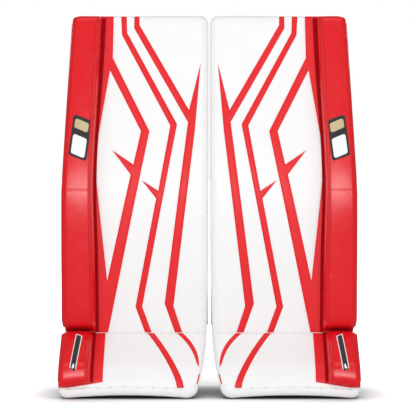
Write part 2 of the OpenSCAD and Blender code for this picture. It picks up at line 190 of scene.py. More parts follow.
def resample(points, step, loop=False):
    """The points of a line, no further than step apart, corners kept."""
    points = np.asarray(points, float)
    ends = np.roll(points, -1, 0) if loop else points[1:]
    out = []
    for a, b in zip(points if loop else points[:-1], ends):
        n = max(1, int(math.ceil(np.linalg.norm(b - a) / step)))
        out.extend(a + (b - a) * i / n for i in range(n))
    if not loop:
        out.append(points[-1])
    return np.array(out)


def arc(centre, radius, start, stop, n):
    """Points on an arc; angles in degrees."""
    turn = np.radians(np.linspace(start, stop, n + 1))
    return np.array(centre) + radius * as_points(np.cos(turn), np.sin(turn))


def nearest(points, line):
    """For each point: the nearest point of an open line, the distance, and the side (+ left, - right)."""
    a, b = line[:-1], line[1:]
    ab = b - a
    ap = points[:, None, :] - a[None]
    t = np.clip((ap * ab).sum(2) / np.maximum((ab * ab).sum(1), 1e-9), 0, 1)
    off = ap - t[..., None] * ab
    dist = np.linalg.norm(off, axis=2)
    k = dist.argmin(1)
    rows = np.arange(len(points))
    foot = a[k] + t[rows, k, None] * ab[k]
    cross = ab[k, 0] * off[rows, k, 1] - ab[k, 1] * off[rows, k, 0]
    return foot, dist[rows, k], np.sign(cross)


def distance(points, loop):
    """How far each point is from a closed outline."""
    return nearest(points, closed(loop))[1]


def inside(points, polygon):
    """Which points lie in a polygon."""
    x, y = points[:, 0, None], points[:, 1, None]
    a, b = polygon, np.roll(polygon, -1, 0)
    crosses = (a[:, 1] > y) != (b[:, 1] > y)
    with np.errstate(divide="ignore", invalid="ignore"):
        at = a[:, 0] + (y - a[:, 1]) * (b[:, 0] - a[:, 0]) / (b[:, 1] - a[:, 1])
    return (crosses & (x < at)).sum(1) % 2 == 1


def fillet(points, radii, n=4):
    """A line whose inner corners are rounded by the given radii."""
    points = np.asarray(points, float)
    out = [points[0]]
    for p, c, q, r in zip(points[:-2], points[1:-1], points[2:], radii):
        u, v = p - c, q - c
        lu, lv = np.linalg.norm(u), np.linalg.norm(v)
        u, v = u / lu, v / lv
        half = math.acos(np.clip(u @ v, -1, 1)) / 2
        cut = min(r / max(math.tan(half), 1e-3), 0.48 * lu, 0.48 * lv)
        a, b = c + u * cut, c + v * cut
        for t in np.linspace(0, 1, n + 1):
            out.append((1 - t) ** 2 * a + 2 * t * (1 - t) * c + t * t * b)
    out.append(points[-1])
    return np.array(out)


def unit_along(line):
    """The unit direction of a line at each of its points."""
    along = np.gradient(line, axis=0)
    return along / np.linalg.norm(along, axis=1, keepdims=True)


def widened(line, by, left):
    """A line moved sideways, to its left or its right."""
    along = unit_along(line)
    return line + as_points(-along[:, 1], along[:, 0]) * (1 if left else -1) * by


def inset(outline, by):
    """An outline drawn in by a distance."""
    line = resample(outline, 4, loop=True)
    along = np.roll(line, -1, 0) - np.roll(line, 1, 0)
    along /= np.linalg.norm(along, axis=1, keepdims=True)
    side = by * as_points(-along[:, 1], along[:, 0])
    moved = line + side
    if not inside(moved[:1], outline)[0]:
        moved = line - side
    return moved[distance(moved, line) > 0.985 * by]


def triangulate(outline, seams, fine, coarse, rows):
    """Flat triangles over an outline whose edges follow the seams, with rows of points beside each seam."""
    points, edges = [], []
    for line in [outline] + seams:
        dense = resample(line, fine, loop=True)
        start = len(points)
        points.extend(dense)
        edges.extend((start + i, start + (i + 1) % len(dense)) for i in range(len(dense)))
    for seam in seams:
        dense = resample(closed(seam), fine)
        for away in rows:
            for left in (True, False):
                beside = widened(dense, away, left)
                clear = np.min([distance(beside, other) for other in seams], 0)
                points.extend(beside[(clear > 0.96 * away) & inside(beside, outline)])
    low, high = outline.min(0), outline.max(0)
    x, z = np.meshgrid(np.arange(low[0], high[0], coarse), np.arange(low[1], high[1], coarse))
    odd_row = np.arange(x.size) // x.shape[1] % 2
    cells = as_points(x.ravel() + odd_row * coarse / 2, z.ravel())
    keep = inside(cells, outline)
    if seams:
        keep &= np.min([distance(cells, seam) for seam in seams], 0) > rows[-1] + coarse * 0.4
    keep &= distance(cells, outline) > coarse * 0.4
    points.extend(cells[keep])
    verts, _, faces, _, _, _ = delaunay_2d_cdt([Vector(p) for p in points], edges, [], 0, 1e-4, False)
    verts = np.array([list(v) for v in verts])
    faces = np.array([f for f in faces if len(f) == 3])
    return verts, faces[inside(verts[faces].mean(1), outline)]


def flipped(faces):
    return [tuple(f)[::-1] for f in faces]


def sheet(grid, closed_rows=False, closed_columns=False, flip=False):
    """A skin over a grid of points, given row by row: points and faces."""
    rows, columns = len(grid), len(grid[0])
    faces = []
    for i in range(rows if closed_rows else rows - 1):
        for j in range(columns if closed_columns else columns - 1):
            i2, j2 = (i + 1) % rows, (j + 1) % columns
            faces.append((i * columns + j, i * columns + j2, i2 * columns + j2, i2 * columns + j))
    return np.reshape(grid, (-1, 3)), flipped(faces) if flip else faces


def outward(verts, faces):
    """The faces of a closed skin, all turned to face outwards."""
    corners = np.array([(f[0], f[i], f[i + 1]) for f in faces for i in range(1, len(f) - 1)])
    a, b, c = (verts[corners[:, i]] for i in range(3))
    return faces if (a * np.cross(b, c)).sum() > 0 else flipped(faces)


def loft(rings):
    """A skin over a row of closed rings of equal length, with flat ends: points and faces."""
    count = len(rings[0])
    verts, faces = sheet(rings, closed_columns=True)
    faces.append(tuple(range(count))[::-1])
    faces.append(tuple((len(rings) - 1) * count + i for i in range(count)))
    return verts, faces


def tube(path, radius, loop=False, sides=8):
    """A round cord along a path: points and faces."""
    path = np.asarray(path, float)
    before, after = np.roll(path, 1, 0), np.roll(path, -1, 0)
    if not loop:
        before[0], after[-1] = path[0], path[-1]
    along = after - before
    along /= np.maximum(np.linalg.norm(along, axis=1, keepdims=True), 1e-9)
    across = np.cross(along, [0.31, 0.22, 0.93])   # no path runs along this direction
    across /= np.maximum(np.linalg.norm(across, axis=1, keepdims=True), 1e-9)
    other = np.cross(across, along)
    turn = np.linspace(0, 2 * math.pi, sides, endpoint=False)
    rings = path[:, None] + radius * (np.cos(turn)[None, :, None] * across[:, None]
                                      + np.sin(turn)[None, :, None] * other[:, None])
    return sheet(rings, closed_rows=True, closed_columns=True) if loop else loft(rings)


def join(parts):
    """Several (points, faces) as one."""
    verts, faces, start = [], [], 0
    for v, f in parts:
        verts.append(v)
        faces.extend(tuple(i + start for i in face) for face in f)
        start += len(v)
    return np.concatenate(verts), faces


def stitches(path, length, gap, radius, rise):
    """A row of short threads along a path; rise is the direction out of the surface."""
    path = np.asarray(path, float)
    step = np.linalg.norm(np.diff(path, axis=0), axis=1)
    run = np.concatenate([[0], np.cumsum(step)])
    parts = []
    for start in np.arange(gap, run[-1] - length, length + gap):
        at = np.linspace(start, start + length, 5)
        points = np.stack([np.interp(at, run, path[:, k]) for k in range(3)], 1)
        bow = np.sin(np.linspace(0, math.pi, 5)) * radius * 1.2 - radius * 0.4
        parts.append(tube(points + np.outer(bow, rise), radius, sides=6))
    return join(parts)


def band(path, across, width, thick):
    """A flat webbing band along a path; across is the direction of its width."""
    path = np.asarray(path, float)
    across = np.asarray(across, float) / np.linalg.norm(across)
    normal = np.cross(unit_along(path), across)
    r = thick / 2
    turn = np.radians([90, 45, 0, -45, -90])
    side = as_points(width / 2 - r + r * np.cos(turn), r * np.sin(turn))
    section = np.concatenate([side, -side])
    rings = path[:, None] + section[None, :, :1] * across + section[None, :, 1:] * normal[:, None]
    verts, faces = loft(rings)
    return verts, outward(verts, faces)


# ---------------------------------------------------------------- meshes and pieces
def build(name, verts, faces, mat, side, sharp):
    """One mesh object from points in mm on the pad; side is 1 for the left pad and -1 for the right."""
    placed = as_points(side * (verts[:, 0] + INNER_X), verts[:, 1], verts[:, 2]) * MM
    mesh = bpy.data.meshes.new(name)
    mesh.from_pydata(placed.tolist(), [], [list(f) if side > 0 else list(f)[::-1] for f in faces])
    mesh.materials.append(mat)
    mesh.shade_smooth()
    mesh.set_sharp_from_angle(angle=math.radians(sharp))
    obj = bpy.data.objects.new(name, mesh)
    bpy.context.scene.collection.objects.link(obj)
    return obj


def thicken(obj, thickness, sharp):
    """Gives a sheet its thickness, with crisp edges."""
    modifier = obj.modifiers.new("thickness", "SOLIDIFY")
    modifier.thickness = thickness * MM
    modifier.offset = -1
    modifier.use_even_offset = False
    graph = bpy.context.evaluated_depsgraph_get()
    mesh = bpy.data.meshes.new_from_object(obj.evaluated_get(graph))
    obj.modifiers.clear()
    obj.data = mesh
    mesh.set_sharp_from_angle(angle=math.radians(sharp))


def place(name, verts, faces, mat, body, nodes=(), slot=None, blend=None, thickness=0, sharp=50):
    """The piece on both pads.

    body is the body that the piece is attached to; blend, the (y, z) where a first body ends and a second
    one starts, leaves the piece unattached where it is instead.
    nodes are the CAD nodes that it replaces; slot, the record's material slot if not the material's own, is
    not used.
    """
    for side, pad in ((1, "left_"), (-1, "right_")):
        obj = build(pad + name, verts, faces, mat, side, sharp)
        if thickness:
            thicken(obj, thickness, sharp)
        if blend:
            x = side * (INNER_X + PAD_W / 2) * MM
            start, end = (Vector((x, y * MM, z * MM)) for y, z in blend)
            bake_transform(obj)
        else:
            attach(obj, pad + body)
        if nodes:
            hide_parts(*[pad + node for node in nodes])
        slot or mat["slot"]


# ---------------------------------------------------------------- materials
class Graph:
    """The shader nodes of a material or a world."""

    def __init__(self, tree):
        self.nodes, self.links = tree.nodes, tree.links

    def put(self, value, socket):
        """Sets a socket to a value, or links it to another node's output."""
        if isinstance(value, bpy.types.NodeSocket):
            self.links.new(value, socket)
        else:
            socket.default_value = value

    def add(self, kind, inputs, **settings):
        """A new node with its settings, and with inputs as {socket: value or output}."""
        node = self.nodes.new("ShaderNode" + kind)
        for key, value in settings.items():
            setattr(node, key, value)
        for socket, value in inputs.items():
            self.put(value, node.inputs[socket])
        return node

    def where(self):
        return self.add("TexCoord", {}).outputs["Object"]

    def noise(self, where, scale, detail):
        inputs = {"Vector": where, "Scale": scale, "Detail": detail, "Roughness": 0.55}
        return self.add("TexNoise", inputs).outputs["Fac"]

    def spread(self, value, low, high):
        """value from 0 to 1 mapped to low to high."""
        return self.add("MapRange", {"Value": value, "To Min": low, "To Max": high}).outputs["Result"]

    def math(self, operation, a, b):
        return self.add("Math", {0: a, 1: b}, operation=operation).outputs[0]

    def bump(self, height, distance, strength, before=None):
        inputs = {"Height": height, "Distance": distance, "Strength": strength}
        if before is not None:
            inputs["Normal"] = before
        return self.add("Bump", inputs).outputs["Normal"]

    def mix(self, share, first, second):
        return self.add("Mix", {0: share, 6: first, 7: second}, data_type="RGBA").outputs[2]

    def tinted(self, colour, value, amount):
        """The colour, made darker by up to amount where value is high."""
        return self.mix(value, (*colour, 1), (*[c * (1 - amount) for c in colour], 1))

    def is_ray(self, kind):
        return self.add("LightPath", {}).outputs["Is %s Ray" % kind]


def material(name, slot, colour, roughness):
    """A plain material for a slot of the record: (material, its graph, its shader's inputs)."""
    mat = bpy.data.materials.new(name)
    mat.use_nodes = True
    mat["slot"] = slot
    inputs = mat.node_tree.nodes["Principled BSDF"].inputs
    inputs["Base Color"].default_value = (*colour, 1)
    inputs["Roughness"].default_value = roughness
    return mat, Graph(mat.node_tree), inputs


def leather(name, slot, colour, roughness, grain, shade, gloss=0.4, own_painted_shade_only=False):
    """Smooth synthetic leather: pebble grain, faint waves, an uneven sheen and painted shade in creases and
    where other parts close in.

    shade is how uneven the colour is; own_painted_shade_only paints the crease shade only where the piece
    itself closes in.
    """
    mat, graph, shader = material(name, slot, colour, roughness)
    where = graph.where()
    cells = graph.add("TexVoronoi", {}, feature="SMOOTH_F1")
    for socket, value in (("Vector", where), ("Scale", 950), ("Smoothness", 0.6)):
        graph.put(value, cells.inputs[socket])
    wide = graph.noise(where, 11, 4)
    pebble = graph.bump(cells.outputs["Distance"], 0.0002, grain)
    pores = graph.bump(graph.noise(where, 2600, 2), 0.00008, grain, pebble)
    graph.put(graph.bump(wide, 0.0022, 0.22, pores), shader["Normal"])
    clean = graph.tinted(colour, wide, shade)
    # painted shade: ambient occlusion darkens the colour in creases and where parts close in
    painted_crease_shade = graph.add("AmbientOcclusion", {"Distance": 0.014, "Color": clean}, only_local=own_painted_shade_only)
    graph.put(graph.mix(0.55, clean, painted_crease_shade.outputs["Color"]), shader["Base Color"])
    sheen = graph.spread(graph.noise(where, 38, 3), roughness - 0.06, roughness + 0.08)
    graph.put(sheen, shader["Roughness"])
    shader["Specular IOR Level"].default_value = gloss
    return mat


def woven(name, slot, colour, pitch, roughness, depth, ribs=False):
    """Cloth woven from threads of the given pitch in metres; ribs gives webbing its lengthwise cords."""
    mat, graph, shader = material(name, slot, colour, roughness)
    where = graph.where()
    axes = graph.add("SeparateXYZ", {0: where}).outputs
    turns = 2 * math.pi / pitch
    warp = graph.math("SINE", graph.math("MULTIPLY", graph.math("ADD", axes["X"], axes["Y"]), turns), 0)
    weft = graph.math("SINE", graph.math("MULTIPLY", axes["Z"], turns), 0)
    if ribs:
        cloth = graph.math("ADD", weft, graph.math("MULTIPLY", warp, 0.35))
    else:
        cloth = graph.math("MULTIPLY", warp, weft)
    fuzz = graph.noise(where, 3500, 2)
    threads = graph.bump(graph.spread(cloth, 0.5, 1.0), depth, 0.8)
    graph.put(graph.bump(fuzz, 0.00006, 0.5, threads), shader["Normal"])
    graph.put(graph.tinted(colour, graph.noise(where, 60, 4), 0.35), shader["Base Color"])
    graph.put(graph.spread(fuzz, roughness - 0.08, roughness + 0.08), shader["Roughness"])
    shader["Sheen Weight"].default_value = 0.25
    return mat


def moulded(name, slot, colour, roughness, grain):
    """Moulded plastic with a fine spark-eroded grain."""
    mat, graph, shader = material(name, slot, colour, roughness)
    where = graph.where()
    fine = graph.noise(where, 1800, 3)
    graph.put(graph.bump(fine, 0.0001, grain), shader["Normal"])
    graph.put(graph.spread(fine, roughness - 0.07, roughness + 0.1), shader["Roughness"])
    graph.put(graph.tinted(colour, graph.noise(where, 25, 3), 0.2), shader["Base Color"])
    return mat


WHITE = leather("white_leather", "white_leather", (0.88, 0.88, 0.88), 0.42, 0.35, 0.03, own_painted_shade_only=True)
WING_WHITE = leather("wing_leather", "wing_leather", (0.88, 0.88, 0.88), 0.42, 0.35, 0.03, own_painted_shade_only=True)
TRIM = leather("trim_leather", "white_leather", (0.86, 0.86, 0.86), 0.40, 0.5, 0.04, own_painted_shade_only=True)
GOLD = leather("gold_leather", "white_leather", (0.62, 0.50, 0.27), 0.4, 0.5, 0.2)
RED = leather("red_leather", "red_leather", (0.82, 0.006, 0.012), 0.42, 0.35, 0.10)
RED_ROLL = leather("red_roll_leather", "red_leather", (0.77, 0.006, 0.012), 0.24, 0.20, 0.10, 0.6)
# painted shade: a dark red for the strip in each roll's groove, standing in for the groove's shade
PAINTED_GROOVE_SHADE = leather("painted_groove_shade_leather", "red_leather", (0.42, 0.0, 0.003), 0.8, 0.35, 0.3, 0.1)
NYLON = woven("back_nylon", "nylon", (0.036, 0.036, 0.040), 0.0016, 0.62, 0.0003)
LINING = woven("soft_lining", "lining", (0.05, 0.05, 0.055), 0.0030, 0.85, 0.0005)
WEBBING = woven("webbing", "webbing", (0.022, 0.022, 0.025), 0.0022, 0.6, 0.0005, ribs=True)
LACE = woven("lace", "lace", (0.80, 0.80, 0.78), 0.0012, 0.7, 0.0002)
THREAD = woven("thread", "lace", (0.70, 0.70, 0.68), 0.0008, 0.6, 0.0001)
PLASTIC = moulded("buckle_plastic", "strap_plastic", (0.02, 0.02, 0.022), 0.42, 0.25)
SHEET = moulded("stiffener_plastic", "stiffener_sheet", (0.05, 0.05, 0.055), 0.5, 0.4)


# ---------------------------------------------------------------- the leather face
EDGE_R = 8.0                        # rounding where the face turns to a side wall
QUARTER = EDGE_R * math.pi / 2      # length of leather around that rounding
WALL = QUARTER + PAD_D - EDGE_R     # leather from the face's flat part to the back of a side wall
LEATHER_T = 1.6
SOLE_Z, ARCH = 2.4, 5.0             # the toe's lowest point, and how high it arches in the middle
CORNER_R, OUTER_CORNER_R = 12.0, 7.0
CORNER_START = math.radians(196)    # where the inner toe corner's arc leaves the sloping inner edge
SIDE_IN = 0.8                       # the outer wall stands this far inside the roll's edge
LEG_END, BOOT_END = math.tan(math.radians(10)), math.tan(math.radians(28))   # slopes of the ends at the fold
OVER_TOP = TOP_Z - EDGE_R + QUARTER
SEAM_ROWS = (1.0, 2.4, 5.5)         # rows of points beside a seam of the face
SEAM_DEPTH, SEAM_W = 0.9, 1.5
PUFF, PUFF_W = 0.7, 14.0            # how far the leather swells between seams, and how fast


def inset_leg():
    """Where the leg's face begins to turn away: up the inner edge, over the top, down the outer edge."""
    r, corner = EDGE_R, 6.0
    low, high = FOLD_Z - 40, TOP_Z - r
    x_high = float(outer_x(high - corner)) - SIDE_IN - r
    z = np.concatenate([np.linspace(high - corner - 1, KNEE_Z, 14), np.linspace(KNEE_Z - 20, FOLD_Z + 30, 8),
                        np.linspace(FOLD_Z + 26, FOLD_Z, 8), [low]])
    on_leg = np.maximum(z, FOLD_Z)
    return np.concatenate([
        as_points(r + inner_x(on_leg), z)[::-1],
        arc((r + corner, high - corner), corner, 180, 90, 6),
        resample([[r + 2 * corner, high], [x_high - corner, high]], 40),
        arc((x_high - corner, high - corner), corner, 90, 0, 6),
        as_points(outer_x(on_leg) - SIDE_IN - r, z)])


def inset_boot():
    """The same line of the boot: down the inner edge, along the arched toe, up the outer edge."""
    low, high = SOLE_Z + EDGE_R, FOLD_Z + 20
    z_in = low + CORNER_R * (1 + math.sin(CORNER_START))
    x_in = EDGE_R + float(inner_x(z_in)) - CORNER_R * math.cos(CORNER_START)
    x_out = PAD_W - SIDE_IN - EDGE_R
    x = np.linspace(x_in, x_out - OUTER_CORNER_R, 21)
    half = (x[-1] - x[0]) / 2
    arch = as_points(x, low + ARCH * (1 - ((x - (x[-1] + x[0]) / 2) / half) ** 2))
    z = np.linspace(high, z_in + 1.5, 24)
    return np.concatenate([
        as_points(EDGE_R + inner_x(np.minimum(z, FOLD_Z - 0.01)), z),
        arc((x_in, low + CORNER_R), CORNER_R, math.degrees(CORNER_START), 270, 6),
        arch[1:-1],
        arc((x_out - OUTER_CORNER_R, low + OUTER_CORNER_R), OUTER_CORNER_R, 270, 360, 6),
        resample([[x_out, low + OUTER_CORNER_R + 6], [x_out, high]], 12)])


def over_edge(points, line, lift, boot):
    """Lays flat points of the leather on the pad: those beyond the line go around the edge and back."""
    foot, dist, side = nearest(points, line)
    out = np.where(side < 0 if boot else side > 0, dist, 0)
    way = (points - foot) / np.maximum(dist, 1e-6)[:, None]
    turn = np.minimum(out / EDGE_R, math.pi / 2)
    beyond = out > 0
    reach = (EDGE_R + lift) * np.sin(turn)
    flat = np.where(beyond[:, None], foot + way * reach[:, None], points)
    depth = np.where(beyond, EDGE_R - (EDGE_R + lift) * np.cos(turn) + np.maximum(0, out - QUARTER), -lift)
    laid = on_face(flat[:, 0], flat[:, 1], np.clip(-depth, 0, None), boot)
    laid[:, 1] += np.maximum(depth, 0)
    return laid


def sheet_outline(line, start, end, boot):
    """The flat outline of a sheet: over the face and around its edges, from the fold to the back's end."""
    outer = widened(line, WALL, not boot)
    turn = QUARTER / 2
    return np.concatenate([
        [[line[0][0] - turn, start], [outer[0][0], end]],
        outer[outer[:, 1] < end if boot else outer[:, 1] > end],
        [[outer[-1][0], end], [line[-1][0] + turn, start]]])


def face_sheet(section, bodies, line, outline, seams, holes):
    """Cuts leather along the seams, sinks these in, lays it on the pad and places its two colours."""
    flat, faces = triangulate(outline, seams + holes, 3.0, 11.0, SEAM_ROWS)
    middle = flat[faces].mean(1)
    red = np.any([inside(middle, seam) for seam in seams], 0)
    for hole in holes:
        red &= ~inside(middle, hole)
    seam = np.min([distance(flat, loop) for loop in seams + holes], 0)
    lift = PUFF * (1 - np.exp(-seam / PUFF_W)) - SEAM_DEPTH * dip(seam, SEAM_W)
    lift = lift * (0.5 + 0.5 * ramp(np.abs(flat[:, 1] - FOLD_Z) / 30))
    solid = over_edge(flat, line, lift, section == "boot")
    across = {"body": bodies, "blend": ACROSS_KNEE} if len(bodies) > 1 else {"body": bodies[0]}
    for colour, kind, mat, chosen in (("white", "cover", WHITE, ~red), ("red", "graphics", RED, red)):
        used, index = np.unique(faces[chosen], return_inverse=True)
        place("%s_face_%s" % (section, colour), solid[used], index.reshape(-1, 3), mat,
              nodes=["%s_%s" % (body, kind) for body in bodies], thickness=LEATHER_T, **across)


def leg_face():
    """The leg's leather with a red side panel, which has a white shard in it, and two slanted red bolts."""
    side_panel = np.array([[184, OVER_TOP], [185, 644], [112.5, 501], [195.7, 94], [400, 94], [400, 900],
                           [204, 900], [204, OVER_TOP]])
    shard = np.array([[190, 619.5], [129, 501], [143, 437], [184, 464.5], [148, 417.5], [193, 214.5],
                      [216, 428], [216, 462]])
    middle_bolt = np.array([[170, OVER_TOP], [167.5, 689], [72.5, 512], [95, 386.5], [127, 407], [99, 372],
                            [139, 164], [110, 85], [97, 85], [126, 164], [59.5, 514.5], [157.5, 693.5],
                            [159, OVER_TOP]])
    inner_bolt = np.array([[144, OVER_TOP], [144, 702.5], [38.5, 518.5], [83, 170], [53, 85], [39.5, 85],
                           [66, 165], [25, 504], [14, 633.5], [36.5, 542], [133.5, 709], [134, OVER_TOP]])
    line = inset_leg()
    outline = sheet_outline(line, FOLD_Z + 0.3, FOLD_Z + LEG_END * PAD_D, False)
    face_sheet("leg", LEG, line, outline, [side_panel, middle_bolt, inner_bolt], [shard])


def boot_bolt(foot, run, power, foot_w, top_w, low):
    """A bolt on the boot, which swings inwards towards the toe."""
    z = np.linspace(low, FOLD_Z + 12, 12)
    up = np.clip(z - low, 0, None) / (FOLD_Z - low)
    x = foot + run * up ** power
    width = foot_w + (top_w - foot_w) * np.sqrt(up)
    return np.concatenate([as_points(x, z), as_points(x + width, z)[::-1]])


def boot_face():
    """The boot's leather with a red side panel, two bolts and a sliver on the inner edge."""
    line = inset_boot()
    top = FOLD_Z - 0.9
    outline = sheet_outline(line, top, top - BOOT_END * PAD_D, True)
    panel = np.array([[196.5, 30.5], [276, 18], [400, 18], [400, 200], [195.7, 200]])
    z = np.linspace(27, 44, 6)
    edge = EDGE_R + inner_x(z)
    sliver = np.concatenate([as_points(edge - 9, z), as_points(edge - 4.5, z)[::-1]])
    bolts = [boot_bolt(44.5, 59.2, 1.5, 13, 13, 20), boot_bolt(16.3, 32.7, 2.3, 0.8, 12, 57)]
    face_sheet("boot", ("boot",), line, outline, [panel, sliver] + bolts, [])


# ---------------------------------------------------------------- the raised outer roll
LEG_ROLL = (FOLD_Z + 3, TOP_Z - 3.4)        # the heights between which each roll lies
BOOT_ROLL = (30.0, FOLD_Z - 1.4)
BEVEL_X = (5.0, 10.5)                       # seams of the bevel, from the roll's inner edge


def roll_start(z, tuck):
    """Where the roll's inner side begins; tuck draws in both sides where the roll ends."""
    return float(groove_x(z)) - 0.6 + 0.4 * tuck


def roll_section(z, lift, tuck=0.0):
    """The roll's cross-section at a height, as (x, lift over the face) from the groove to the outer side.

    The inner side is bevelled in two steps.
    """
    g, o = roll_start(z, tuck), float(outer_x(z)) - tuck
    corners = [[g, -1.0], [g + 1.6, 0.50 * lift], [g + BEVEL_X[0], 0.84 * lift],
               [g + BEVEL_X[1], 0.99 * lift], [(g + o) / 2, 1.05 * lift], [o - 9.0, lift],
               [o - 1.4, 0.62 * lift], [o, 0.2 * lift], [o, -1.5]]
    return fillet(corners, [1.6, 1.4, 1.8, 90, 5.0, 5.0, 6.0], 4)


def roll(name, stations, body, nodes, caps, blend=None):
    """A padded roll lofted over stations (height, lift, shear, tuck, droop); caps domes its two ends.

    shear moves a point up with its lift, and droop moves the outer side down.
    """
    boot = body == "boot"
    rings = []
    for z, lift, shear, tuck, droop in stations:
        x, h = roll_section(z, lift, tuck).T
        down = droop * (x - x.min()) / (x.max() - x.min())
        ring = on_face(x, z, h, boot)
        ring[:, 1] += face_y(np.maximum(z - down, 1)) - face_y(z)
        ring[:, 2] += np.maximum(h, 0) * shear - down
        rings.append(ring)
    dome = [(0.9, 0.55), (0.6, 0.95), (0.25, 1.0)]
    ends = []
    for ring, cap in ((rings[0], caps[0]), (rings[-1], caps[1])):
        middle = ring.mean(0)
        ends.append([middle + (ring - middle) * size + [0, 0, cap * rise] for size, rise in dome])
    verts, faces = loft(ends[0][::-1] + rings + ends[1])
    place(name, verts, outward(verts, faces), RED_ROLL, body, nodes, blend=blend, sharp=60)
    for k, bevel in enumerate(BEVEL_X):
        rope = []
        for z, lift, shear, tuck, _ in stations[2:-2]:
            x, h = roll_section(z, lift, tuck).T
            seam_x, half = roll_start(z, tuck) + bevel, len(x) // 2
            rise = np.interp(seam_x, x[:half], h[:half]) + 0.25
            rope.append(on_face([seam_x], z, rise, boot)[0] + [0, 0, rise * shear])
        place("%s_seam_%d" % (name, k + 1), *tube(rope, 0.75), RED_ROLL, body, blend=blend)


def leg_lift(z):
    """The leg's roll is full along its length, with rounded ends and a slight crease at the knee."""
    low, high = LEG_ROLL
    ends = (0.78 + 0.22 * shoulder(z - low, 14)) * (0.35 + 0.65 * shoulder(high - z, 12))
    return ROLL_H * ends * (1 - 0.014 * dip(z - KNEE_Z, 1.8))


def boot_lift(z):
    """The boot's roll thins towards the toe, with a fold of leather across it."""
    low, high = BOOT_ROLL
    fold = 0.09 * dip(z - 51, 6) - 0.04 * dip(z - 64, 6)
    swell = 0.36 + 0.64 * shoulder(z - low, 27) + fold
    return 0.86 * ROLL_H * swell * (0.72 + 0.28 * shoulder(high - z, 10))


def outer_rolls():
    """The leg's roll, in one piece that follows the face's bend at the knee, and the boot's."""
    low, high = LEG_ROLL
    z = np.concatenate([low + np.array([0, 1, 4, 9]), np.linspace(low + 17, KNEE_Z - 12, 22),
                        KNEE_Z + np.array([-7, -4, -2.4, -1.2, 0, 1.2, 2.4, 4, 7]),
                        np.linspace(KNEE_Z + 12, high - 18, 26),
                        high - np.array([12, 8, 5, 3, 1.4, 0.4, 0.0])])
    shear = 0.86 * (1 - ramp((z - low) / 50))
    tuck = 3.0 * (1 - shoulder(z - low, 16)) + 8.0 * (1 - shoulder(high - z, 9))
    roll("leg_roll", list(zip(z, leg_lift(z), shear, tuck, 0 * z)), LEG, ("shin_roll", "thigh_roll"),
         (-0.6, 0.4), ACROSS_KNEE)
    low, high = BOOT_ROLL
    z = np.concatenate([low + np.array([0, 1.5, 4, 7]), np.linspace(low + 10, 66, 14),
                        np.linspace(70, high - 9, 8), high - np.array([6, 4, 2, 0.8, 0.0])])
    shear = -0.34 * ramp((z - FOLD_Z + 26) / 26)
    tuck = 7.0 * (1 - shoulder(high - z, 9))
    droop = 9.0 * (1 - ramp((z - low) / 26))
    roll("boot_roll", list(zip(z, boot_lift(z), shear, tuck, droop)), "boot", ("boot_roll",), (-0.5, 0.8))


def roll_trim():
    """A concave strip in the groove between each roll and the face, coloured dark red as painted shade, and
    the piping where it meets the outer wall.
    """
    for name, body, low, high, blend in (("leg", LEG, FOLD_Z + 1, TOP_Z - 5, ACROSS_KNEE),
                                         ("boot", "boot", 30, FOLD_Z - 1.5, None)):
        z = np.linspace(low, high, 120)
        wide = 1 + 0.5 * ramp((z - KNEE_Z - 100) / (TOP_Z - KNEE_Z - 100))
        profile = ((-5.2, 0.5), (-4.4, 1.15), (-3.0, 0.95), (-1.0, 0.9), (1.5, 1.2))
        rows = [on_face(groove_x(z) + away * wide, z, lift, body == "boot") for away, lift in profile]
        # the strip's dark red is painted shade in the groove
        place(name + "_roll_painted_groove_shade", *sheet(np.stack(rows, 1)), PAINTED_GROOVE_SHADE, body, blend=blend)
        side = as_points(outer_x(z) + 0.2, face_y(z) + 1.2, z)
        place(name + "_roll_piping", *tube(side[2:-2], 1.3), RED_ROLL, body, blend=blend)


def patch(name, outline, body, lift_of, x_mid, z_mid, lean, rise, mat):
    """A thin sewn patch that lies on a roll; outline is around its middle, lean turns it in the face."""
    flat, faces = triangulate(outline, [outline], 2.0, 5.0, (0.5,))
    turn = math.radians(lean)
    x = x_mid + flat[:, 0] * math.cos(turn) - flat[:, 1] * math.sin(turn)
    z = z_mid + flat[:, 0] * math.sin(turn) + flat[:, 1] * math.cos(turn)
    sections = [roll_section(height, float(lift_of(height))) for height in z]
    lift = np.array([np.interp(a, section[:, 0], section[:, 1]) for a, section in zip(x, sections)])
    lift += rise * shoulder(distance(flat, outline), 0.8) - 0.3
    place(name, on_face(x, z, lift, body == "boot"), faces, mat, body)


def slanted(width, height, slant, corner):
    """A rounded parallelogram around the origin."""
    w, h = width / 2, height / 2
    corners = [[-w, -h], [w, -h + slant], [w, h], [-w, h - slant]]
    loop = [[0, -h + slant / 2]] + corners[1:] + corners[:1] + [[0, -h + slant / 2]]
    return fillet(loop, [corner] * 4)[:-1]


def patches():
    """Plain sewn patches without a mark: a slanted one on the thigh's roll and a slim bar on the boot's."""
    middle = PAD_W - 35
    for name, w, h, up, rise, mat in (("rim", 36, 86, 0, 1.0, WEBBING), ("field", 28, 46, -16, 1.6, WHITE),
                                      ("crown", 28, 27, 23, 1.6, GOLD)):
        x, z = middle - up * 0.12, KNEE_Z + 98 + up
        patch("roll_patch_" + name, slanted(w, h, 8, 5), "thigh", leg_lift, x, z, 7, rise, mat)
    for name, w, h, rise, mat in (("rim", 13, 58, 0.8, WHITE), ("field", 10, 55, 1.2, WEBBING)):
        outline = slanted(w, h, 2, 1.5)
        patch("boot_patch_" + name, outline, "boot", boot_lift, middle + 4, FOLD_Z - 43, 8, rise, mat)


# ---------------------------------------------------------------- trim on the front
LACES_X = (17, 42, 72, 89, 117, 142, 162, 179)


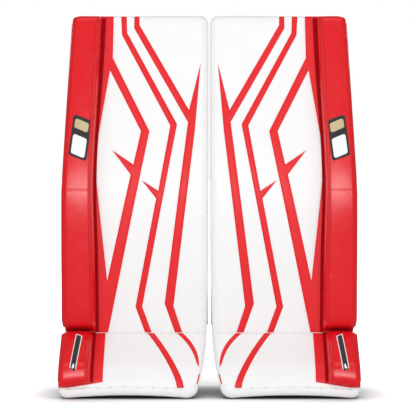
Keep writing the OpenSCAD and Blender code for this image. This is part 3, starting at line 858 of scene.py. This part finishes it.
def fold_trim():
    """The piping along the fold above the boot, and the laces that tie the two sections together."""
    x = np.linspace(2.5, GROOVE_X + 1, 90)
    y = face_y(FOLD_Z) + 0.4 + 4.5 * dip(x - 2.5, 4)
    cord = as_points(x, y, FOLD_Z - 0.3)
    place("fold_piping", *tube(cord, 0.75), TRIM, "shin")
    z = np.linspace(-3.6, -0.6, 7)
    y = face_y(FOLD_Z + z) - 0.2 - 0.7 * np.sin(np.linspace(0, math.pi, 7))
    laces = [tube(as_points(x + z * 0.3, y, FOLD_Z + z), 0.6) for x in LACES_X]
    place("break_laces", *join(laces), LACE, "boot", ("break_lacing",))


# Across the toe's binding: from its sewn edge on the face, around the toe's rounding, to under the sole.
BINDING_REACH = np.array([-7.5, -7.2, -6.4, -4.8, -2.4, 0, 3, 6, 9, QUARTER, QUARTER + 6, QUARTER + 14,
                          QUARTER + 24, QUARTER + 30, QUARTER + 31])
BINDING_SWELL = np.array([-0.2, 1.0, 1.9, 2.5, 2.7, 2.6, 2.5, 2.4, 2.2, 2.0, 1.9, 1.8, 1.6, 0.9, -0.2])
BINDING_TOP, OUTER_TOP = 30, 22     # the binding starts below these heights, inside and outside


def boot_rim():
    """The padded white binding around the toe, with its stitches, and the piping up the inner edge."""
    toe = inset_boot()
    line = resample(toe, 3.0)
    line = line[(line[:, 1] < BINDING_TOP) & ((line[:, 0] < 60) | (line[:, 1] < OUTER_TOP))]
    run = np.concatenate([[0], np.cumsum(np.linalg.norm(np.diff(line, axis=0), axis=1))])
    s = np.linspace(0, run[-1], int(run[-1] / 3))
    line = np.stack([np.interp(s, run, line[:, k]) for k in range(2)], 1)
    along = unit_along(line)
    out = as_points(along[:, 1], -along[:, 0])
    ends = shoulder(s, 16) * shoulder(s[-1] - s, 16)
    wide = 0.25 + 0.75 * ramp((s - 4) / 30)
    ripple = 1 + 0.10 * np.cos(2 * math.pi * s / 26)
    rows = []
    for k, (reach, swell) in enumerate(zip(BINDING_REACH, BINDING_SWELL)):
        flat = line + out * (reach * np.where(reach < 0, wide, 1))[:, None]
        lift = swell * (ripple if 1 < k < 9 else 1) * ends
        rows.append(over_edge(flat, toe, np.maximum(lift, -0.2), True))
    grid = np.stack(rows, 1)
    grid[..., 2] = np.maximum(grid[..., 2], 0.05)
    place("toe_binding", *sheet(grid, flip=True), TRIM, "boot", ("boot_binding",), slot="binding")
    seam = over_edge(line + out * (-6.0 * wide)[:, None], toe, 1.6 * ends + 0.3, True)
    place("toe_stitches", *stitches(seam[3:-3], 4.0, 22.0, 0.7, [0, -1, 0.2]), THREAD, "boot")
    z = np.linspace(32, FOLD_Z - 3, 50)
    cord = as_points(inner_x(z) + EDGE_R - 3, face_y(z) + 0.9, z)
    place("boot_edge_piping", *tube(cord, 0.9), TRIM, "boot")


# ---------------------------------------------------------------- cushions
BLOWN = {"quality": 6, "mass": 0.2, "tension_stiffness": 12, "compression_stiffness": 12,
         "shear_stiffness": 8, "bending_stiffness": 0.4, "use_pressure": True,
         "uniform_pressure_force": 4, "vertex_group_mass": "held"}
BLOWN_FRAMES = 20                # how long the cloth swells
SWELL = 2.0                      # and how far a point may move, at most


def padded(verts, faces, held):
    """The closed skin of a cushion, blown up by a cloth simulation; held points (rim and seams) stay put."""
    mesh = bpy.data.meshes.new("padding")
    mesh.from_pydata((verts * MM).tolist(), [], faces)
    obj = bpy.data.objects.new("padding", mesh)
    bpy.context.scene.collection.objects.link(obj)
    group = obj.vertex_groups.new(name="held")
    group.add([int(i) for i in np.nonzero(held)[0]], 1.0, "REPLACE")
    settings = obj.modifiers.new("padding", "CLOTH").settings
    for key, value in BLOWN.items():
        setattr(settings, key, value)
    settings.effector_weights.gravity = 0
    scene = bpy.context.scene
    for step in range(1, BLOWN_FRAMES + 1):
        scene.frame_set(step)
    blown = obj.evaluated_get(bpy.context.evaluated_depsgraph_get()).to_mesh()
    moved = np.array([point.co for point in blown.vertices]) / MM - verts
    scene.frame_set(1)
    bpy.data.objects.remove(obj)
    far = np.maximum(np.linalg.norm(moved, axis=1, keepdims=True), 1e-9)
    return verts + moved * np.minimum(1, SWELL / far)


def cushion(name, outline, half, edge, lay, body, mats, nodes=(), seams=(), quilt=2.0, cord_r=1.7):
    """A padded shape: two skins that swell from one outline, and a cord sewn around it.

    lay(points, height) puts flat points in space, half is half the thickness and edge the rounding at the
    rim, quilt the depth of the seams, and mats holds the materials of the front, the back and the cord.
    """
    flat, faces = triangulate(outline, list(seams) + [outline], 4.0, 9.0, (0.6, 2.0, 4.5))
    rim = distance(flat, outline)
    held = rim < 1.0
    swell = half * shoulder(rim, edge)
    for seam in seams:
        away = distance(flat, seam)
        swell -= quilt * dip(away, 2.2)
        held |= away < 0.5
    pucker = 0.5 * np.sin(flat[:, 0] * 0.31 + 1.7 * np.sin(flat[:, 1] * 0.07)) * np.sin(flat[:, 1] * 0.27)
    swell += np.where(rim > 0.1, pucker * np.exp(-rim / 16), 0)
    swell[rim < 0.1] = 0
    verts = np.concatenate([lay(flat, swell), lay(flat, -swell)])
    skin = [tuple(int(i) for i in f) for f in faces]
    skin = outward(verts, skin + [tuple(i + len(flat) for i in f)[::-1] for f in skin])
    verts = padded(verts, skin, np.tile(held, 2))
    front, back, cord = mats
    place(name + "_front", verts[:len(flat)], skin[:len(faces)], front, body, nodes)
    behind = [tuple(i - len(flat) for i in f) for f in skin[len(faces):]]
    place(name + "_back", verts[len(flat):], behind, back, body)
    rope = resample(outline, 4, loop=True)
    place(name + "_cord", *tube(lay(rope, np.zeros(len(rope))), cord_r, loop=True), cord, body)


# ---------------------------------------------------------------- the back of the pad
def back_panel():
    """The nylon that closes the back of the leg, with stitched channels, and the cord around its edge."""
    low, high = FOLD_Z + LEG_END * PAD_D + 1, TOP_Z - 2.5
    margin, puff_h, channel_h, channel_w, beside_seam = 1.6, 2.0, 1.9, 3.0, 4.5
    seams_x = (CHANNEL[0] - 6, CHANNEL[1] + 6)
    seams_z = (KNEE_Z + 10, KNEE_Z + 175, KNEE_Z + 250)
    heights, share = np.linspace(low, high, 180), np.linspace(0, 1, 80)
    rows = []
    for z in heights:
        x = margin + share * (float(outer_x(z)) - SIDE_IN - 2 * margin)
        rim = np.minimum(np.minimum(x - margin, x[-1] - x), min(z - low, high - z))
        puff = puff_h * shoulder(rim, 12)
        for off in [x - seam_x for seam_x in seams_x] + [z - seam_z for seam_z in seams_z]:
            puff = puff - channel_h * dip(off, channel_w)
        rows.append(as_points(x, back_y(z) - 0.9 + puff, z))
    place("back_panel", *sheet(rows, flip=True), NYLON, LEG,
          ("shin_back_panel", "thigh_back_panel", "shin_core", "thigh_core"), blend=ACROSS_KNEE)
    threads = []
    for seam, upright in [(x, True) for x in seams_x] + [(z, False) for z in seams_z]:
        for beside in (-beside_seam, beside_seam):
            if upright:
                z = np.linspace(low + 8, TOP_Z - 10, 120)
                x = seam + beside
            else:
                x = np.linspace(10, float(outer_x(seam)) - 11, 60)
                z = seam + beside
            threads.append(stitches(as_points(x, back_y(z) + 0.9, z), 4.0, 3.0, 0.4, [0, 1, 0]))
    place("back_stitches", *join(threads), THREAD, LEG, blend=ACROSS_KNEE)
    up = np.linspace(low, TOP_Z - 9, 90)
    inner = as_points(1.8, back_y(up) - 0.6, up)
    outer = as_points(outer_x(up) - SIDE_IN - 1.8, back_y(up) - 0.6, up)
    top_x = np.linspace(8, float(outer_x(TOP_Z)) - SIDE_IN - 8, 30)
    top = as_points(top_x, back_y(high) - 0.6, TOP_Z - 2.2)
    rope = resample(np.concatenate([inner, top, outer[::-1]]), 5)
    place("back_piping", *tube(rope, 1.8), TRIM, LEG, blend=ACROSS_KNEE)


def fold_gusset():
    """The pleated nylon between the leg and the boot."""
    ring = resample([[-0.5, -0.5], [0.5, -0.5], [0.5, 0.5], [-0.5, 0.5]], 0.05, loop=True)
    front, rear = 11.0, PAD_D - 4.0
    margin, pleat_h = 5.5, 8.6
    heights = np.linspace(FOLD_Z - 46, FOLD_Z + 24, 40)
    rows = []
    for z in heights:
        pleat = 2 * 1.4 * math.sin(z * 2 * math.pi / pleat_h)
        left = margin + (float(inner_x(z)) if z < FOLD_Z else 0)
        right = float(outer_x(z)) - SIDE_IN - margin
        x = (left + right) / 2 + ring[:, 0] * (right - left + pleat)
        depth = (front + rear) / 2 + ring[:, 1] * (rear - front + pleat)
        rows.append(as_points(x, face_y(z) + depth, z))
    place("fold_gusset", *sheet(rows, closed_columns=True), NYLON, ("shin", "boot"),
          blend=((FOLD_Y, FOLD_Z + 10), (FOLD_Y, FOLD_Z - 26)))


def boot_back():
    """The lining that closes the boot's back, and its two side flaps."""
    heights = np.linspace(13.5, FOLD_Z - 1 - BOOT_END * PAD_D, 30)
    share = np.linspace(0, 1, 46)
    rows = []
    for z in heights:
        tuck = 3 + float(inner_x(z))
        x = tuck + share * (PAD_W - 3.5 - tuck)
        rim = np.minimum(np.minimum(x - x[0], x[-1] - x), min(z - heights[0], heights[-1] - z))
        rows.append(as_points(x, back_y(z) - 0.8 + 1.5 * shoulder(rim, 8), z))
    place("boot_lining", *sheet(rows, flip=True), LINING, "boot", ("boot_liner", "boot_core"))

    def top(y):
        return FOLD_Z - 2 - BOOT_END * (y - FOLD_Y)

    sole = 0.4
    rear = node_box("boot_liner")[1][1]
    z = np.linspace(sole, 64, 10)
    front = as_points(back_y(z) + 1, z)
    peak = float(back_y(84)) + 1
    corners = [[rear - 40, sole], [rear, sole], [rear, top(rear)], [peak, top(peak)], front[-1]]
    outline = np.concatenate([front[::-1], fillet(corners, [14, 14, 18])[:-1]])
    for name, x in (("inner", CHANNEL[0] - 6.5), ("outer", CHANNEL[1] + 6.5)):
        def lay(points, height, x=x):
            return as_points(x + height, points[:, 0], points[:, 1])
        cushion(name + "_boot_flap", outline, 5.0, 6.0, lay, "boot", (NYLON, LINING, TRIM),
                seams=[inset(outline, 12)], quilt=1.5)


def rear_cushion(name, low, high, depth, start, mats, nodes=(), seams=()):
    """A padded block on the back of the shin, between two (x, z) corners; start(z) is where it begins."""
    (x0, z0), (x1, z1) = low, high
    middle = [(x0 + x1) / 2, z0]
    outline = fillet([middle, [x1, z0], [x1, z1], [x0, z1], [x0, z0], middle], [9, 9, 9, 9], 5)[:-1]

    def lay(points, height):
        return as_points(points[:, 0], start(points[:, 1]) + depth / 2 + height, points[:, 1])
    cushion(name, outline, depth / 2 - 1.2, min(depth / 2, 9), lay, "shin", mats, nodes, seams, cord_r=1.4)


def leg_cushions():
    """The strip the shin rests on and the two-layer block under the inside of the knee."""
    def on_back(z):
        return back_y(z) + 0.5

    low, high = (corner[[0, 2]] - [INNER_X, 0] for corner in node_box("leg_cradle"))
    channel_pitch = 34
    left, right = low[0] + 12, high[0] - 12
    channels = [np.array([[left, z], [right, z], [right, z + 0.6], [left, z + 0.6]])
                for z in np.arange(low[1] + channel_pitch, high[1] - 20, channel_pitch)]
    rear_cushion("leg_cradle", low, high, 10, on_back, (LINING, LINING, TRIM), ("leg_cradle",), channels)

    low, high = (corner[[0, 2]] - [INNER_X, 0] for corner in node_box("knee_block"))
    first = node_box("knee_block")[0][1]
    first_t, second_t = 26, 18
    rear_cushion("knee_block", low, high, first_t, lambda z: first, (WING_WHITE, WING_WHITE, TRIM),
                 ("knee_block",))
    rear_cushion("knee_block_top", low + [4, 6], high - [4, 6], second_t, lambda z: first + first_t,
                 (NYLON, NYLON, TRIM))


# ---------------------------------------------------------------- wings and straps
def wing(name, hinge_x, side):
    """A padded wing; returns how its skin lies in space, and its length."""
    low, high = node_box(name)
    z0, z1 = low[2], high[2]
    length = high[1] - max(back_y(z0 + 40), back_y(z1 - 40)) - BACK_GAP - 1
    z = z0 + (z1 - z0) * (1 - np.cos(np.linspace(0, math.pi, 31))) / 2
    reach = length * (0.72 + 0.28 * np.minimum(shoulder(z - z0, 34), shoulder(z1 - z, 34)))
    foot = 2.4
    outline = np.concatenate([[[foot, z0]], as_points(reach, z), [[foot, z1]]])

    def lay(points, height):
        share = points[:, 0] / length
        bow = 6 * np.sin(math.pi * share) - 8 * share * share - WING_T / 2
        x = hinge_x + side * (bow + height)
        return as_points(x, back_y(points[:, 1]) + BACK_GAP + points[:, 0], points[:, 1])
    cushion(name, outline, WING_T / 2 - 2.2, 9, lay, name, (WING_WHITE, LINING, TRIM), (name,),
            [inset(outline, 15)], quilt=2.6, cord_r=1.9)
    return lay, length


def ring_path(centre, u, v, width, height, corner_r):
    """A rounded rectangle around a point, with its sides along the directions u and v."""
    a, b = width / 2 - corner_r, height / 2 - corner_r
    flat = np.concatenate([arc((a, b), corner_r, 0, 90, 4), arc((-a, b), corner_r, 90, 180, 4),
                           arc((-a, -b), corner_r, 180, 270, 4), arc((a, -b), corner_r, 270, 360, 4)])
    return centre + flat[:, :1] * u + flat[:, 1:] * v


STRAP_T, TAIL_T, KEEPER_T = 2.4, 2.2, 1.6
TAIL, HEM, KEEPER = (33, 92), (4, 26), (74, 66)   # where each layer runs, from the strap's sewn end
SEWN = ((8, 22), (40, 62), (78, 90))              # where its threads run
BUCKLE_AT = 30.0
ON_STRAP, ON_TAIL, THREAD_RISE = 2.9, 5.4, 4.1   # how far layers and threads lie over the strap's middle


def strap(name, width, wing_lay=None, wing_length=0, wing_body=None):
    """A webbing strap behind the leg: the band, its folded end with a buckle, and its anchor on the wing."""
    joint = JOINTS["left_" + name + "_swing"]
    pivot = np.array(joint["pos_m"]) / MM - [INNER_X, 0, 0]
    up = -np.array(joint["axis"])
    back = np.cross(up, [1, 0, 0])
    if back[1] < 0:
        back = -back
    length = pivot[0] - (node_box(name)[0][0] - INNER_X)

    def path(reach, off):
        """Points of the strap this far from its sewn end, off from its middle layer."""
        bow = 1.2 * np.sin(math.pi * np.clip(reach / length, 0, 1))
        return pivot - as_points(reach, 0, 0) + (off + bow)[:, None] * back

    def layer(first, last, count, off, wide, thick):
        return band(path(np.linspace(first, last, count), off), up, wide, thick)

    parts = [layer(-1, length - 1, 34, 0, width, STRAP_T),
             layer(*TAIL, 16, ON_STRAP, width - 1, TAIL_T),
             layer(*HEM, 8, ON_STRAP, width - 1, TAIL_T),
             layer(*KEEPER, 4, ON_TAIL, width + 4, KEEPER_T)]
    place(name + "_webbing", *join(parts), WEBBING, name, (name,))
    centre = path(np.array([BUCKLE_AT]), 4.0)[0]
    along = np.array([1.0, 0, 0])
    buckle = [tube(ring_path(centre, along, up, 20, width + 9, 4), 2.2, loop=True)]
    for shift in (-3.0, 4.0):
        reach = np.linspace(-width / 2 - 3, width / 2 + 3, 6)
        buckle.append(tube(centre + along * shift + up * reach[:, None], 1.9))
    place(name + "_buckle", *join(buckle), PLASTIC, name)
    threads = []
    for first, last in SEWN:
        for side in (-1, 1):
            row = path(np.linspace(first, last, 10), THREAD_RISE) + up * side * (width / 2 - 4)
            threads.append(stitches(row, 2.6, 1.4, 0.4, back))
    place(name + "_stitches", *join(threads), THREAD, name)
    if wing_lay is None:
        return
    reach = np.linspace(wing_length * 0.62, wing_length - 2, 8)
    z = pivot[2] - (wing_length - reach) * 0.02
    skin = wing_lay(as_points(reach, z), WING_T / 2 + 0.2)
    loop = np.concatenate([skin, [skin[-1] * 0.45 + pivot * 0.55 + [4, 1, 0], pivot + [2.5, 0, 0]]])
    place(name + "_anchor", *band(resample(loop, 4), up, width - 4, TAIL_T), WEBBING, wing_body)


def patch_of_loops():
    """The loop fastener on the tip of the inner calf wing."""
    low, high = node_box("calf_patch")
    x = np.linspace(low[0], high[0], 6) - INNER_X
    up = -np.array(JOINTS["left_calf_strap_swing"]["axis"])
    middle = (low + high) / 2
    path = as_points(x, middle[1], middle[2])
    place("calf_loop_patch", *band(path, up, high[2] - low[2] - 1, 1.6), LINING, "inner_calf_wing",
          ("calf_patch",), slot="webbing")


def wings_and_straps():
    """The four wings around the leg, the straps on the two outer ones, and the strap behind the boot."""
    inner, outer = CHANNEL[0] - WING_T, CHANNEL[1] + WING_T
    wing("inner_calf_wing", inner, -1)
    calf = wing("outer_calf_wing", outer, 1)
    wing("inner_knee_wing", inner, -1)
    knee = wing("outer_knee_wing", outer, 1)
    strap("calf_strap", 38, *calf, "outer_calf_wing")
    strap("knee_strap", 38, *knee, "outer_knee_wing")
    strap("boot_strap", 30)
    patch_of_loops()


def hard_parts():
    """The toe bridge, its tie and the hidden stiffener keep their CAD shapes and get their materials."""
    for pad in ("left_", "right_"):
        for node, mat in (("toe_bridge", PLASTIC), ("toe_tie", WEBBING), ("shin_stiffener", SHEET)):
            mesh = frame["nodes"][pad + node].data
            mesh.materials.clear()
            mesh.materials.append(mat)


# ---------------------------------------------------------------- stage, camera and light
def stage():
    """A wide white floor, bright enough to run into the white background, with a painted contact shadow
    close to the pads.

    The camera alone sees its glow and that painted contact shadow, so neither changes the light on the pads.
    """
    floor, graph, shader = material("stage_paper", "", (0.9, 0.9, 0.9), 0.9)
    shader["Specular IOR Level"].default_value = 0.1
    shader["Emission Color"].default_value = (1, 1, 1, 1)
    seen = graph.is_ray("Camera")
    # painted contact shadow: ambient occlusion darkens the floor's colour and glow near the pads, for the
    # camera only
    contact = graph.add("AmbientOcclusion", {"Distance": 0.12}).outputs["AO"]
    dark = graph.math("SUBTRACT", 1.0, graph.math("POWER", contact, 1.5))
    lit = graph.math("SUBTRACT", 1.0, graph.math("MULTIPLY", dark, seen))
    far = graph.add("VectorMath", {0: graph.where()}, operation="LENGTH").outputs["Value"]
    glow = graph.add("MapRange", {"Value": far, "From Min": 0.35, "From Max": 1.6, "To Min": NEAR_GLOW,
                                  "To Max": FAR_GLOW}).outputs["Result"]
    glow = graph.math("MULTIPLY", glow, seen)
    graph.put(graph.math("MULTIPLY", glow, lit), shader["Emission Strength"])
    grey = graph.math("MULTIPLY", lit, 0.9)
    graph.put(graph.add("CombineColor", {0: grey, 1: grey, 2: grey}).outputs[0], shader["Base Color"])
    turn = np.linspace(0, 2 * math.pi, 48, endpoint=False)
    rings = [[(r * math.cos(a), r * math.sin(a), -0.0005) for a in turn] for r in (0.6, 2.0, 6.0, 30.0)]
    verts, faces = sheet(rings, closed_columns=True)
    mesh = bpy.data.meshes.new("stage")
    mesh.from_pydata(verts.tolist(), [], faces + [tuple(range(len(turn)))])
    mesh.materials.append(floor)
    obj = bpy.data.objects.new("stage", mesh)
    obj.visible_glossy = False
    bpy.context.scene.collection.objects.link(obj)


def room_light():
    """White all around: full for the camera, softer as light and dim in reflections."""
    world = bpy.data.worlds.new("studio")
    world.use_nodes = True
    graph = Graph(world.node_tree)
    background = graph.nodes["Background"].inputs
    background["Color"].default_value = (1, 1, 1, 1)
    level = graph.spread(graph.is_ray("Glossy"), ROOM_LIGHT, ROOM_SHEEN)
    graph.put(graph.math("MAXIMUM", level, graph.is_ray("Camera")), background["Strength"])
    bpy.context.scene.world = world


def softboxes():
    """Five area lights: name, place, target, size in metres and power in watts."""
    middle = (0, 0, 0.38)
    for name, spot, target, size, power in (
            ("front_softbox", (0, -3.6, 1.0), middle, (2.6, 0.75), 46),
            ("top_softbox", (0, -1.0, 2.6), (0, 0, 0.2), (2.4, 1.6), 10),
            ("left_softbox", (-2.4, -1.6, 1.0), middle, (1.2, 1.8), 5),
            ("right_softbox", (2.4, -1.6, 1.0), middle, (1.2, 1.8), 5),
            ("rear_softbox", (0, 3.2, 1.4), middle, (2.6, 1.2), 30)):
        light = bpy.data.lights.new(name, "AREA")
        light.shape = "RECTANGLE"
        light.size, light.size_y = size
        light.energy = power
        obj = bpy.data.objects.new(name, light)
        obj.location = spot
        obj.rotation_euler = (Vector(target) - Vector(spot)).to_track_quat("-Z", "Y").to_euler()
        bpy.context.scene.collection.objects.link(obj)


def camera():
    """A level camera in front of the pads, shifted so that they fill the picture."""
    away = 3.2                      # metres from the pads to the lens
    view_width = 0.796              # metres across the picture at the pads' depth
    eye_height, centre_height = 0.45, 0.35
    data = bpy.data.cameras.new("camera")
    data.angle = 2 * math.atan(view_width / 2 / away)
    data.shift_x = -0.0031
    data.shift_y = (centre_height - eye_height) / view_width + 0.0046
    obj = bpy.data.objects.new("camera", data)
    obj.location = (0, -away - 0.04, eye_height)
    obj.rotation_euler = (math.radians(90), 0, 0)
    bpy.context.scene.collection.objects.link(obj)
    bpy.context.scene.camera = obj


leg_face()
boot_face()
outer_rolls()
fold_trim()
boot_rim()
roll_trim()
patches()
back_panel()
fold_gusset()
boot_back()
leg_cushions()
wings_and_straps()
hard_parts()
stage()
room_light()
softboxes()
camera()
bpy.context.scene.view_settings.view_transform = "Standard"
bpy.context.scene.view_settings.look = "None"
